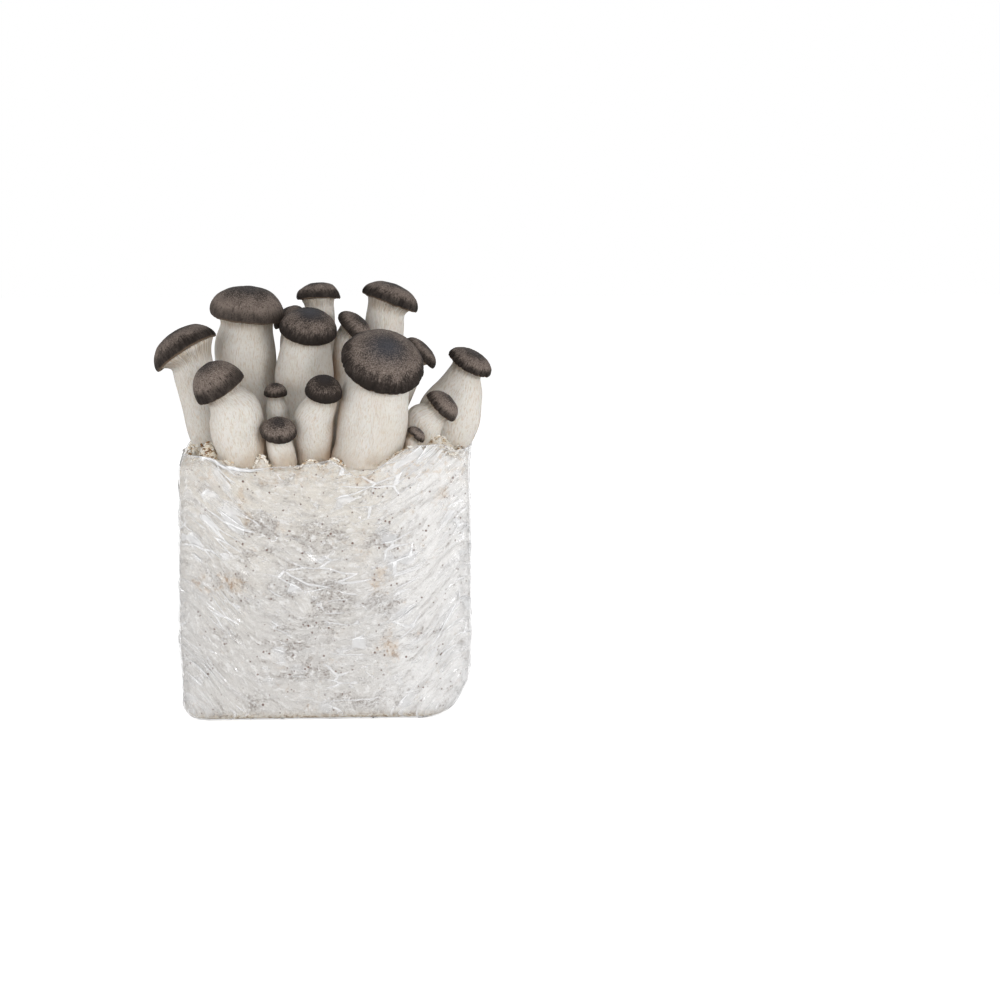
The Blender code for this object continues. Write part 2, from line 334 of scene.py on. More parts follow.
MUSHROOMS = (
    Mushroom((-73, 0, 12), ((-78.5, 0, 21, 13.2), (-81.7, 0, 39, 13.8), (-85.7, 0, 56, 14)),
             (-91.4, 0, 73, 14), (-32, -3), (23.8, 13.5), saddle=1.5, turn=90, flare=0.88),
    Mushroom((-46, 33, 15), ((-49, 33, 38, 17.7), (-52, 32, 57, 20.2), (-53.6, 31, 76, 20.5)),
             (-51.9, 29.6, 96, 17), (2, 12), (26.2, 16.6), wedge=1.6, turn=180, tone=0.06, band=0.88),
    Mushroom((-53.8, -39, 15.2), ((-54, -39.5, 10, 16), (-56.7, -40, 23, 17.7), (-58.7, -41, 38, 17)),
             (-67, -42.5, 51, 12), (-31, 12), (17.7, 18), tone=0.1, flare=0.68),
    Mushroom((-30, -20, 7), ((-30.3, -20, 26, 7.6), (-31, -21, 36, 7.3)), (-32, -22.7, 46, 5.8), (0, 12),
             (8, 7)),
    Mushroom((-27, -47.5, 8), ((-28, -48.2, 10, 8.8),), (-29.8, -51.4, 23, 8), (0, 32), (12.1, 9)),
    Mushroom((-14, 8, 13), ((-13.5, 8, 39, 16.8), (-13.4, 8, 55, 19.8), (-12.1, 7, 70, 18)),
             (-10.3, 4, 85.3, 15.8), (6, 23), (19.8, 14.2), tone=-0.16, bluish=0.85),
    Mushroom((-7, -36, 10.5), ((-7.4, -37, 20, 13.2), (-6.4, -41, 33, 13)), (-0.5, -49, 48.8, 10), (8, 30),
             (12.4, 11), tone=-0.38),
    Mushroom((25.9, -37, 20.1), ((28.7, -37.6, 12, 22.0), (31.7, -38, 27, 23.2), (33.4, -38.6, 45, 22.7)),
             (38, -43.8, 66, 20), (12, 40), (28, 16), oval=0.03, turn=-35, tone=-0.06, frill=0.45,
             band=0.62, bluish=0.9),
    Mushroom((-3, 38, 9.5), ((-3, 38, 65, 10.2), (-2.4, 38, 93, 10.2)), (-3.1, 38, 106.5, 9.8), (-6.5, -4),
             (15.2, 9.7), wedge=1.5, turn=180, tone=-0.07),
    Mushroom((39, 43, 13), ((40, 44, 64, 13.7), (41.8, 44, 87, 13.6)), (45, 44, 103.5, 12.8), (21, 0),
             (20.5, 11.2), frill=0.7),
    Mushroom((12, 20, 8), ((12.3, 20, 46, 8.6), (14.3, 19, 70, 8.4)), (19.6, 17.4, 86.6, 7.8), (42, 15),
             (13.8, 8.6), oval=0.06, turn=150, flare=0.65),
    Mushroom((38, 12, 8), ((46, 15, 29, 8.2), (55, 19, 50, 8.2)), (64.2, 22, 69.2, 7.5), (46, 3), (14, 7),
             flare=0.65),
    Mushroom((78.5, 20, 14.5), ((82, 20, 15, 19.5), (86, 20, 30.5, 21.6), (93, 19, 47, 15.8)),
             (98.5, 16.6, 62.2, 10.6), (28, 15), (16.4, 8), frill=1.0, flare=0.7),
    Mushroom((61.5, -16, 10.5), ((63.3, -16, 17, 12.4), (67.5, -16, 28, 13)), (77, -17.5, 36, 9.2),
             (44, 12), (13, 9), tone=0.17, frill=0.7),
    Mushroom((56.5, -36.5, 4), ((57.2, -36.8, 12, 4.6),), (59.7, -37.2, 19.5, 4.2), (41, 10), (7, 4.8),
             tone=0.17, frill=0.9),
    Mushroom((-22, 47, 7), ((-22.5, 47, 54, 7.6), (-22.3, 47, 78, 7.5)), (-22.8, 46, 92, 7.2), (-35, 5),
             (12, 7), tone=0.15),
)
print("mushrooms:", len(MUSHROOMS))


# %% Shared helpers for pieces
def finished(bm, name, nodes):
    if not any(edge.is_boundary for edge in bm.edges):
        bmesh.ops.recalc_face_normals(bm, faces=bm.faces)
    mesh = bpy.data.meshes.new(name)
    bm.to_mesh(mesh)
    bm.free()
    mesh.shade_smooth()
    piece = placed(name, mesh)
    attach(piece, "root")
    if nodes:
        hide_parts(*nodes)
    return piece


def next_ring(bm, edges):
    """The points and the edges of a ring that is grown from a ring of edges."""
    grown = bmesh.ops.extrude_edge_only(bm, edges=edges)["geom"]
    ring = [g for g in grown if isinstance(g, bmesh.types.BMVert)]
    return ring, [g for g in grown if isinstance(g, bmesh.types.BMEdge)]


def shares_of(bm, *names):
    """New attributes of a mesh's points, one number each."""
    return [bm.verts.layers.float.new(name) for name in names]


def wander(x, y, z, seed=0.0):
    """Smooth noise between about -1 and 1."""
    return noise.noise(Vector((x + 31.7 * seed, y - 17.3 * seed, z + 7.9 * seed)))


def step_up(value, low, high):
    """Nothing below low, one above high, and a soft step between."""
    share = max(0.0, min(1.0, (value - low) / (high - low)))
    return share * share * (3 - 2 * share)


def cap_axis(lean):
    """The way a cap faces, from its lean to the right and towards the front in degrees."""
    right, front = radians(lean[0]), radians(lean[1])
    return Vector((sin(right) * cos(front), -sin(front), cos(right) * cos(front)))


def waypoint(x, y, height, radius):
    """A point of a stem, from its height above the block's top, with the radius there."""
    return Vector((x * MM, y * MM, BLOCK_TOP + height * MM, radius * MM))


# %% [markdown]
# ## Stems
# A stem is a thick, firm stalk, widest at its belly, that flares into fine ridges under the cap.
# A curve with a bevel would give its line but no say over its surface. So a circle is extruded
# ring by ring along the line instead, each ring moved by one matrix, and the finished tube is then
# kneaded: slow swellings, soft folds along it, and the ridges near the cap. Each point keeps its
# place on the straightened stem as an attribute, so that the fibres of the finish follow the bends.

# %% The line of a stem
RING_STEP = 1.3 * MM
EASINGS = 40


def moved(place, direction, distance):
    """A point of a stem moved in one direction, with its radius as it was."""
    step = direction * distance
    return place + Vector((step.x, step.y, step.z, 0))


def smooth_path(guides):
    """Points about a ring's step apart on a Catmull-Rom curve through all guides but the outer two."""
    path = []
    for a, b, c, d in zip(guides, guides[1:], guides[2:], guides[3:]):
        steps = max(2, ceil((c - b).xyz.length / RING_STEP))
        for step in range(steps):
            t = step / steps
            path.append(0.5 * (2 * b + (c - a) * t + (2 * a - 5 * b + 4 * c - d) * t ** 2
                               + (3 * b - a - 3 * c + d) * t ** 3))
    return path + [guides[-2]]


def stem_line(shape):
    """Centre and radius along a stem, square to the block at its foot and to the cap at its head."""
    x, y, radius = shape.foot
    foot = waypoint(x, y, 0, radius)
    head = waypoint(*shape.head)
    axis = cap_axis(shape.lean)
    low = moved(foot, UP, FLAT_END + FLAT_SHARE * foot.w)
    high = moved(head, axis, -FLAT_END - FLAT_SHARE * head.w)
    points = [low, *(waypoint(*w) for w in shape.belly), high]
    before = moved(points[1], UP, -2 * (points[1] - low).xyz.length)
    after = moved(points[-2], axis, 2 * (high - points[-2]).xyz.length)
    before.w, after.w = low.w, high.w
    path = smooth_path([before, *points, after])
    inside = moved(head, axis, GAP + 0.05 * shape.cap[0] * MM)
    return [foot, foot.lerp(low, 0.5), *path, high.lerp(head, 0.35), high.lerp(head, 0.7), head, inside]


def eased_directions(line):
    """The way the stem runs at each of its points, evened out so that neighbouring rings never cross."""
    ways = [(b - a).xyz.normalized() for a, b in zip(line, line[1:])]
    ways = [ways[0]] + [(a + b).normalized() for a, b in zip(ways, ways[1:])] + [ways[-1]]
    for _ in range(EASINGS):
        inner = [(a + 2 * b + c).normalized() for a, b, c in zip(ways, ways[1:], ways[2:])]
        ways = [ways[0]] + inner + [ways[-1]]
    return ways


# %% The skin of a stem
FLARE_REACH = 0.42              # how far below the cap a stem flares, of the cap's radius
SWELL = 0.028                   # slow swellings, of the radius
FOLD = 0.28 * MM                # soft folds along the stem
GILL_RIDGE = 0.32 * MM
KNOB = 0.5 * MM                 # bumps of the foot, and how much wider it is, of its radius
FOOT_SWELL = 0.15


def flare_at(left, shape):
    """How much wider a stem is, a distance below its cap."""
    reach = FLARE_REACH * shape.cap[0] * MM
    share = max(0.0, 1 - left / reach)
    return (shape.flare * shape.cap[0] - shape.head[3]) * MM * share ** 2.3


def turned_to(place, direction, radius):
    """The matrix that puts a unit circle round a point, square to a direction."""
    turn = UP.rotation_difference(direction).to_matrix().to_4x4()
    return Matrix.Translation(place) @ turn @ Matrix.Diagonal((radius, radius, radius, 1))


def around(unit, often, along, length, seed):
    """Noise on a stem, from how often it changes round the stem and its length along it in mm."""
    return wander(unit.x * often, unit.y * often, along / (length * MM), seed)


def knead_stem(unit, along, left, shape, seed):
    """How far a stem's skin stands out from round, at a point of its straightened form."""
    swelling = SWELL * (shape.head[3] * MM) * around(unit, 0.9, along, 26, seed)
    fold = FOLD * around(unit, 2.8, along, 70, seed + 0.4)
    near_cap = 1 - step_up(left, 1 * MM, FLARE_REACH * 1.1 * shape.cap[0] * MM)
    ridge = GILL_RIDGE * near_cap * around(unit, 9, along, 30, seed + 0.7)
    near_foot = 1 - step_up(along, 0, 11 * MM)
    knob = near_foot * (FOOT_SWELL * shape.foot[2] * MM + KNOB * around(unit, 3, along, 5, seed))
    return swelling + fold + ridge + knob


def stem_skin(number, shape):
    """A stem as one closed mesh, with the grain, gill and foot attributes that its finish reads."""
    line = stem_line(shape)
    segments = 128 if shape.head[3] > 11 else 88
    bm = bmesh.new()
    grain = bm.verts.layers.float_vector.new("grain")
    gill, foot = shares_of(bm, "gill", "foot")
    lengths = [0.0]
    for a, b in zip(line, line[1:]):
        lengths.append(lengths[-1] + (b - a).xyz.length)
    before = Matrix.Identity(4)
    ring = bmesh.ops.create_circle(bm, cap_ends=True, segments=segments, radius=1)["verts"]
    edges = bm.edges[:]
    skin = []
    for index, (place, way) in enumerate(zip(line, eased_directions(line))):
        left = max(0.0, lengths[-2] - lengths[index])
        matrix = turned_to(place.xyz, way, place.w + flare_at(left, shape))
        if index:
            ring, edges = next_ring(bm, edges)
        bmesh.ops.transform(bm, matrix=matrix @ before.inverted(), verts=ring)
        before = matrix
        back = matrix.inverted()
        for vert in ring:
            unit = back @ vert.co
            skin.append((vert, (vert.co - place.xyz).normalized(), unit, lengths[index], left))
    bmesh.ops.contextual_create(bm, geom=edges)
    for vert, outward, unit, along, left in skin:
        vert[grain] = (unit.x * shape.head[3] * MM, unit.y * shape.head[3] * MM, along)
        vert[gill] = 1 - step_up(left, 0.5 * MM, FLARE_REACH * 1.5 * shape.cap[0] * MM)
        vert[foot] = 1 - step_up(along, 0, 24 * MM)
        vert.co += outward * knead_stem(unit, along, left, shape, number)
    return finished(bm, f"grown_stem_{number:02d}", [f"stem_{number:02d}"])


stems = [stem_skin(number, shape) for number, shape in enumerate(MUSHROOMS, start=1)]
print("stems:", sum(len(s.data.polygons) for s in stems), "faces")


# %% [markdown]
# ## Crowded stems
# Little light gets in between stems that press against each other, and they are brown there. So
# each point of a stem notes how near the next stem is, and the finish tints it by that: partly their
# own brown, partly painted shade.

# %% Where stems press against each other
CROWDED = 12 * MM               # how near another stem has to be for its shade to show
THINNED = 6


def points_of(stem):
    """A search tree of a part of the points of a stem's skin."""
    places = [vert.co for vert in stem.data.vertices][::THINNED]
    tree = KDTree(len(places))
    for index, place in enumerate(places):
        tree.insert(place, index)
    tree.balance()
    return tree


def mark_crowding(stems):
    """Gives each stem its near attribute: one where it touches another stem, nothing far from all."""
    trees = [points_of(stem) for stem in stems]
    corners = [[Vector(corner) for corner in stem.bound_box] for stem in stems]
    for stem, own, box in zip(stems, trees, corners):
        others = [tree for tree, other in zip(trees, corners) if tree is not own and overlap(box, other)]
        shares = []
        for vert in stem.data.vertices:
            gap = min((tree.find(vert.co)[2] for tree in others), default=CROWDED)
            shares.append(1 - step_up(gap, 0.5 * MM, CROWDED))
        stem.data.attributes.new("near", "FLOAT", "POINT").data.foreach_set("value", shares)


def overlap(box, other):
    """Whether two boxes come closer to each other than the crowding distance, seen from above."""
    low, high, under, over = box[0], box[6], other[0], other[6]
    return all(low[i] < over[i] + CROWDED and under[i] < high[i] + CROWDED for i in (0, 1))


mark_crowding(stems)
print("crowding: marked on", len(stems), "stems")

# %% [markdown]
# ## Caps
# A young cap is a firm dome with its margin rolled in. Its section is a row of points from the
# crown over the margin to the middle of the underside, and a full spin turns it. The turned dome
# is then grown unevenly: oval or saddled as its measures say, with a wavy, grooved margin and fine
# ridges that run out from the crown.

# %% The section of a cap
DOME_STEP = 3                   # degrees between two points of the dome
LIP_LEVEL = 0.085               # height of the visible cap's widest ring, of its radius
SETTLED = 0.975                 # the velvet lies a little lower than the solid's crown
LIP = ((0.998, 0.062), (0.990, 0.040), (0.977, 0.020), (0.962, 0.006), (0.945, 0.0), (0.925, 0.002))
UNDERSIDE = ((0.90, 0.012), (0.85, 0.024), (0.72, 0.03), (0.5, 0.03), (0.25, 0.03), (0.0, 0.03))


def cap_section(shape):
    """Points from a cap's crown over its margin to the middle of its underside."""
    radius, height = shape.cap[0] * MM, shape.cap[1] * MM
    widest = LIP_LEVEL * radius
    height = SETTLED * height + RIM_DEPTH * radius - widest
    dome = [(radius * sin(radians(a)), widest + height * cos(radians(a))) for a in range(0, 91, DOME_STEP)]
    return dome + [(x * radius, z * radius) for x, z in LIP + UNDERSIDE]


# %% The uneven growth of a cap
WAVE = 0.035                    # slow waves of the margin, of the radius
SCALLOP = 0.028                 # short scallops of a grooved margin, of the radius
FIBRIL = 0.13 * MM              # ridges that run out from the crown
PIT, PIT_SIZE = 0.10 * MM, 2.2 * MM
GROOVE = 1.2 * MM
GROOVE_SPACING = 2.6 * MM
AT_MIDDLE = 1e-6


def way_out(co, shape):
    """How far out a point of a turned cap is, of its radius, and the way there."""
    radius = shape.cap[0] * MM
    out = hypot(co.x, co.y) / radius
    if out < AT_MIDDLE:
        return 0.0, 0.0, 0.0
    return out, co.x / (out * radius), co.y / (out * radius)


def grow_cap(co, shape, seed):
    """Where a point of a turned cap ends up once the cap has grown unevenly."""
    radius = shape.cap[0] * MM
    out, ux, uy = way_out(co, shape)
    if not out:
        return co
    seat = (shape.head[3] * MM + 1 * MM) / radius
    free = max(0.0, (out - seat) / (1 - seat))
    way = atan2(co.y, co.x) - radians(shape.turn)
    stretch = 1 + shape.oval * cos(2 * way) * free
    wave = WAVE * (wander(ux * 1.3, uy * 1.3, 0.0, seed) - 0.35)
    scallop = SCALLOP * shape.frill * (wander(ux * 6.5, uy * 6.5, 0.0, seed + 0.3) - 0.4)
    stretch += (wave + scallop) * step_up(out, 0.55, 1.0)
    lift = (shape.saddle * cos(2 * way) + shape.wedge * cos(way)) * MM * free
    lift += 0.05 * radius * wander(ux * 1.1, uy * 1.1, 4.0, seed) * free ** 2
    lift += 0.018 * radius * wander(ux * out * 3, uy * out * 3, 2.0, seed)
    return Vector((co.x * stretch, co.y * stretch, co.z + lift))


def groove_at(co, shape, seed):
    """Share of the full depth of the grooves that part the margin into small lobes."""
    out = way_out(co, shape)[0]
    if out < 0.5:
        return 0.0
    x, y = co.x / (GROOVE_SPACING * out), co.y / (GROOVE_SPACING * out)
    lobe = wander(x, y, 0.5, seed + 0.6) + 0.5 * wander(x * 2.3, y * 2.3, 0.1, seed)
    start = 0.90 - 0.12 * wander(x * 0.7, y * 0.7, 3.0, seed)
    return step_up(out, start, 0.99) * step_up(lobe, 0.08, 0.42)


def cap_relief(co, shape, seed):
    """How far a cap's fine skin stands out: fibrils, grooves near the margin, and small pits."""
    out, ux, uy = way_out(co, shape)
    if not out:
        return 0.0
    fibril = FIBRIL * wander(ux * 13, uy * 13, out * 2.2, seed) * step_up(out, 0.1, 0.5)
    pit = PIT * wander(co.x / PIT_SIZE, co.y / PIT_SIZE, co.z / PIT_SIZE, seed)
    return fibril + pit - GROOVE * shape.frill * groove_at(co, shape, seed)


def cap_skin(number, shape):
    """A cap as one closed mesh, with the attributes that its finish reads."""
    steps = 176 if shape.cap[0] > 15 else 112
    bm = bmesh.new()
    section = [bm.verts.new((x, 0, z)) for x, z in cap_section(shape)]
    chain = [bm.edges.new(pair) for pair in zip(section, section[1:])]
    bmesh.ops.spin(bm, geom=section + chain, cent=(0, 0, 0), axis=(0, 0, 1), angle=tau, steps=steps,
                   use_merge=True)
    bmesh.ops.remove_doubles(bm, verts=bm.verts, dist=1e-6)
    bmesh.ops.recalc_face_normals(bm, faces=bm.faces)
    bm.normal_update()
    grain = bm.verts.layers.float_vector.new("grain")
    ray = bm.verts.layers.float_vector.new("ray")
    reach, groove, under = shares_of(bm, "reach", "groove", "under")
    radius = shape.cap[0] * MM
    axis = cap_axis(shape.lean)
    place = waypoint(*shape.head).xyz + axis * GAP
    matrix = Matrix.Translation(place) @ UP.rotation_difference(axis).to_matrix().to_4x4()
    for vert in bm.verts:
        spot = vert.co.copy()
        vert[grain] = spot
        vert[reach] = hypot(spot.x, spot.y) / radius
        along = (vert[reach] - 0.9 * (spot.z - RIM_DEPTH * radius) / radius) * radius
        vert[ray] = (*(spot.xy.normalized() * radius), along)
        vert[groove] = groove_at(spot, shape, number) * min(1.0, 1.6 * shape.frill)
        # under: where the cap faces down, which its finish darkens with painted shade
        vert[under] = step_up(-vert.normal.z, 0.25, 0.9)
        vert.co = grow_cap(spot, shape, number) + vert.normal * cap_relief(spot, shape, number)
    bmesh.ops.transform(bm, matrix=matrix, verts=bm.verts)
    return finished(bm, f"grown_cap_{number:02d}", [f"cap_{number:02d}"])


caps = [cap_skin(number, shape) for number, shape in enumerate(MUSHROOMS, start=1)]
print("caps:", sum(len(c.data.polygons) for c in caps), "faces")


# %% [markdown]
# ## The block
# Moist sawdust is pressed into a brick and held together by white mycelium. A cube's few large
# faces can't be kneaded, and its corners are too sharp. So the top is a fine grid with its corners
# drawn round, and its outline is extruded down ring by ring: over the brow, down the walls and
# round the foot. The walls are lumped as in the solid. The top is kneaded: heaps of loose growth at
# the ends, a collar of mycelium where each stem comes out, and an edge that climbs with the film.

# %% The lumps of the walls
FILM_WALL = 0.6 * MM            # the solid bag's wall, on which the block stands
NET = 1.6 * MM                  # spacing of the block's net of faces
DRAPE = (7e-5, 1.5e-4)          # how steeply the garlands of wrinkles climb to the corners, per mm squared
HEAPS = (                       # x, y, radius and height of the heaps on the top, in mm
    (-86, 16, 22, 12), (-84, -14, 17, 13), (-76, -38, 12, 16), (-41, -54, 7, 9), (-9, -55, 10, 6),
    (6, -55, 9, 7), (76, -22, 25, 18), (82, -46, 14, 13), (60, -46, 11, 12), (88, 10, 15, 11),
    (-78, 42, 16, 6), (80, 48, 14, 6), (5, 52, 20, 4),
)
BACK_SHIFT = 12                 # how far the patches and stains are moved on the back, in mm
PATCHES = (                     # x, z, radii across and up, and strength of the grey patches, in mm
    (-43, 131, 16, 11, 0.9), (-5, 121, 20, 12, 0.8), (5, 84, 17, 15, 1.0), (37, 121, 15, 9, 0.8),
    (38, 78, 14, 11, 0.8), (-61, 92, 15, 12, 0.7), (-23, 50, 18, 8, 0.7), (-13, 33, 20, 8, 0.8),
    (20, 15, 14, 7, 0.7), (-28, 161, 16, 9, 0.35), (-48, 15, 12, 7, 0.6), (-20, 92, 22, 14, 0.6),
    (-10, 66, 26, 10, 0.6), (40, 49, 13, 12, 0.35), (-62, 60, 15, 8, 0.5), (28, 150, 16, 6, 0.4),
    (-80, 155, 6, 10, 0.4), (-45, 112, 14, 8, 0.5), (62, 60, 12, 8, 0.3), (-75, 38, 10, 6, 0.4),
)
STAINS = (                      # the same for the tan stains
    (-54, 150, 4, 12, 0.9), (-61, 92, 13, 9, 0.8), (36, 94, 9, 11, 0.8), (41, 49, 8, 16, 0.8),
    (-52, 136, 5, 7, 0.8), (-80, 94, 9, 8, 0.6), (30, 160, 16, 4, 0.6), (-28, 160, 18, 8, 0.5),
    (60, 118, 14, 10, 0.25), (76, 150, 8, 12, 0.5), (-30, 128, 8, 8, 0.4), (-84, 12, 10, 5, 0.4),
    (22, 112, 12, 8, 0.4), (50, 140, 10, 6, 0.3), (0, 40, 14, 8, 0.3),
)


def drape_at(x, y):
    """How far a garland of wrinkles has climbed at a place on the bag, all in mm."""
    return DRAPE[0] * abs(x) ** 3 + DRAPE[1] * abs(y) ** 3


def lump_at(point, floor):
    """How far a wall stands proud of flat at a point, nothing at the foot or below."""
    rise = max(0.0, min(1.0, (point.z - floor - FOOT_ROUND) / LUMP_RISE))
    bow = CROWN * sin(pi * min(1.0, max(0.0, point.z / BLOCK_TOP)))
    lump = LUMP * noise.noise(point / LUMP_SPACING)
    return rise * (bow + lump)


def swell_at(point):
    """Smaller swellings that the block and the tight film share, upright ones near the corners."""
    x, y, z = point.x / MM, point.y / MM, point.z / MM
    hang = z - drape_at(x, y) + 6 * wander(x / 20, y / 20, z / 20, 15)
    slow = 0.6 * wander(x / 24, y / 24, hang / 15, 8)
    upright = step_up(abs(x), 70, 92) * 0.8 * wander(x / 9, y / 9, z / 60, 6)
    ridges = 0.55 * wander(x / 20, y / 20, hang / 5.5, 18) * (1 - 0.6 * step_up(z, 130, 158))
    return (slow + upright + ridges) * step_up(point.z, 2 * MM, 12 * MM) * MM


def rim_at(x, y):
    """Height of the film's rim above the block's top and its lean, in the direction of a place."""
    direction = degrees(atan2(y, x))
    for low, high in zip(RIM, RIM[1:]):
        if low[0] <= direction <= high[0]:
            share = (direction - low[0]) / (high[0] - low[0])
            return Vector(low[1:]).lerp(Vector(high[1:]), share) * MM
    return Vector(RIM[0][1:]) * MM


def ruffle(co, share):
    """How far the loose film near the rim swings in and out."""
    x, y, z = co.x / MM, co.y / MM, co.z / MM
    return share * (1.5 * wander(x / 13, y / 13, z / 30, 12) + 0.3 * wander(x / 6, y / 6, z / 9, 14)) * MM


def wall_at(co, floor):
    """How far block and film both stand out from the straight wall: lumps, swellings and the loose rim."""
    loose = step_up(co.z, BLOCK_TOP - 12 * MM, BLOCK_TOP + 8 * MM)
    above = step_up(co.z, BLOCK_TOP - 1 * MM, BLOCK_TOP + 9 * MM)
    lean = rim_at(co.x, co.y)[1]
    return lump_at(co, floor) + swell_at(co) + ruffle(co, loose) + lean * above


# %% The kneaded top
EDGE_BELOW = 2.2 * MM           # how far the growth along the edge stays below the film's rim
COLLAR, COLLAR_REACH = 1.8, 4.5     # the growth round a stem, in mm
CUT, CUT_HEIGHT = 15 * MM, 28 * MM      # the lower right corner that is filled loosely


def edge_lift(x, y):
    """How far the growth along the edge climbs up inside the film."""
    inset = min(BLOCK_WIDTH / 2 - abs(x), BLOCK_DEPTH / 2 - abs(y))
    climb = max(0.0, rim_at(x, y)[0] - EDGE_BELOW)
    return climb * (1 - step_up(inset, 5 * MM, 20 * MM))


def top_lift(x, y):
    """How high the growth on the block's top stands at a place: heaps, edge, stem collars and crumbs."""
    crumbly = 0.9 * wander(x / (9 * MM), y / (9 * MM), 0.0, 3)
    crumbly += 0.7 * wander(x / (3.2 * MM), y / (3.2 * MM), 0.0, 5)
    heaped = 0.0
    for hx, hy, radius, height in HEAPS:
        heaped += height * MM * (1 - step_up(hypot(x / MM - hx, y / MM - hy), 0, radius))
    collar = 0.0
    for shape in MUSHROOMS:
        fx, fy, radius = shape.foot
        gap = hypot(x / MM - fx, y / MM - fy) - radius
        collar += COLLAR * (1 - step_up(abs(gap), 0, COLLAR_REACH))
    return (crumbly + collar) * MM + max(heaped, edge_lift(x, y))


def corner_cut(co):
    """How far the loosely filled lower right corner falls short of the others."""
    low = max(0.0, 1 - co.z / CUT_HEIGHT)
    return Vector((-CUT * low ** 1.5 * step_up(co.x, 40 * MM, 90 * MM), 0, 0))


def spots_at(co, spots):
    """Strength of the nearest spots of a table at a point of a broad side, mirrored for the back."""
    x = co.x / MM if co.y < 0 else -co.x / MM - BACK_SHIFT
    z = co.z / MM
    total = 0.0
    for sx, sz, across, up, strength in spots:
        total = max(total, strength * (1 - step_up(hypot((x - sx) / across, (z - sz) / up), 0.25, 1.35)))
    return total


# %% The skin of the block
def on_outline(co, inset):
    """The point of the plan's outline nearest to a point, moved in by an inset, and the way out there."""
    half = Vector((BLOCK_WIDTH / 2 - CORNER_ROUND, BLOCK_DEPTH / 2 - CORNER_ROUND))
    core = Vector((max(-half.x, min(half.x, co.x)), max(-half.y, min(half.y, co.y)), 0))
    out = (Vector((co.x, co.y, 0)) - core).normalized()
    return core + out * (CORNER_ROUND - inset), out


def top_grid(bm):
    """The level top inside the brow as a fine grid with its corners drawn round."""
    across, deep = BLOCK_WIDTH - 2 * BROW_ROUND, BLOCK_DEPTH - 2 * BROW_ROUND
    bmesh.ops.create_grid(bm, x_segments=round(across / NET), y_segments=round(deep / NET), size=0.5)
    bmesh.ops.scale(bm, vec=(across, deep, 1), verts=bm.verts)
    for vert in bm.verts:
        inset = min(BLOCK_WIDTH / 2 - abs(vert.co.x), BLOCK_DEPTH / 2 - abs(vert.co.y))
        if inset < CORNER_ROUND:
            vert.co = on_outline(vert.co, inset)[0]


def block_levels(floor):
    """(inset, height, share of the top's lift) of each ring below the top, from the brow to the foot."""
    turns = [sin(radians(a)) for a in range(18, 91, 18)], [1 - cos(radians(a)) for a in range(18, 91, 18)]
    brow = [(BROW_ROUND * (1 - out), BLOCK_TOP - BROW_ROUND * down, 1.0) for out, down in zip(*turns)]
    high, low = BLOCK_TOP - BROW_ROUND, floor + FOOT_ROUND
    count = round((high - low) / NET)
    wall = [high + (low - high) * i / count for i in range(1, count + 1)]
    walls = [(0.0, z, 1 - step_up(high - z, 0, 18 * MM)) for z in wall]
    foot = [(FOOT_ROUND * down, low - FOOT_ROUND * out, 0.0) for out, down in zip(*turns)]
    return brow + walls + foot


def block_skin():
    """The block as one closed mesh, with its patches, its stains and where its top is."""
    floor = FILM_WALL + GAP
    bm = bmesh.new()
    patch, stain, top = shares_of(bm, "patch", "stain", "top")
    top_grid(bm)
    edges = [edge for edge in bm.edges if edge.is_boundary]
    for vert in bm.verts:
        vert.co.z = BLOCK_TOP + top_lift(vert.co.x, vert.co.y)
        vert[top] = 1.0
    for inset, height, share in block_levels(floor):
        ring, edges = next_ring(bm, edges)
        for vert in ring:
            brow, _ = on_outline(vert.co, BROW_ROUND)
            spot, _ = on_outline(vert.co, inset)
            vert.co = spot + UP * (height + share * top_lift(brow.x, brow.y))
            vert[top] = step_up(inset, 0, BROW_ROUND)
    bmesh.ops.contextual_create(bm, geom=edges)
    for vert in bm.verts:
        co = vert.co.copy()
        vert[patch] = spots_at(co, PATCHES)
        vert[stain] = spots_at(co, STAINS)
        rough = -0.25 * MM + 0.25 * MM * wander(co.x / (5 * MM), co.y / (5 * MM), co.z / (5 * MM), 9)
        way = on_outline(co, 0)[1]
        vert.co += way * (1 - vert[top]) * (wall_at(co, floor) + rough) + corner_cut(co)
    return finished(bm, "mycelium_block", ["block"])


block = block_skin()
print("block:", len(block.data.polygons), "faces")

# %% [markdown]
# ## Loose crumbs
# Chips of sawdust and flakes of dried mycelium lie on the top, most of them on the heaps. There
# are thousands, so each is a lump of twenty faces, stretched and turned at random with a fixed
# seed, and all of them are one mesh.

# %% Crumbs
CRUMB_COUNT = 5000
CRUMB_BATCH = 200
CRUMB_SIZE = (0.4, 2.3)         # half the length of a chip, in mm
CRUMB_TILT = 0.7
CRUMB_JITTER = 0.22             # how uneven a chip is, of its thickness
ON_HEAPS = 0.72                 # share of the crumbs that lie on the heaps
crumb_luck = Random(11)


def crumb_place():
    """A random place on the block's top, mostly on the heaps."""
    if crumb_luck.random() < ON_HEAPS:
        hx, hy, radius, _ = crumb_luck.choice(HEAPS)
        turn, out = crumb_luck.uniform(0, tau), radius * crumb_luck.random() ** 0.6
        x, y = (hx + out * cos(turn)) * MM, (hy + out * sin(turn)) * MM
    else:
        x = crumb_luck.uniform(-0.5, 0.5) * BLOCK_WIDTH
        y = crumb_luck.uniform(-0.5, 0.5) * BLOCK_DEPTH
    spot = Vector((x, y, 0))
    edge, way = on_outline(spot, BROW_ROUND)
    return edge if (spot - edge).dot(way) > 0 else spot


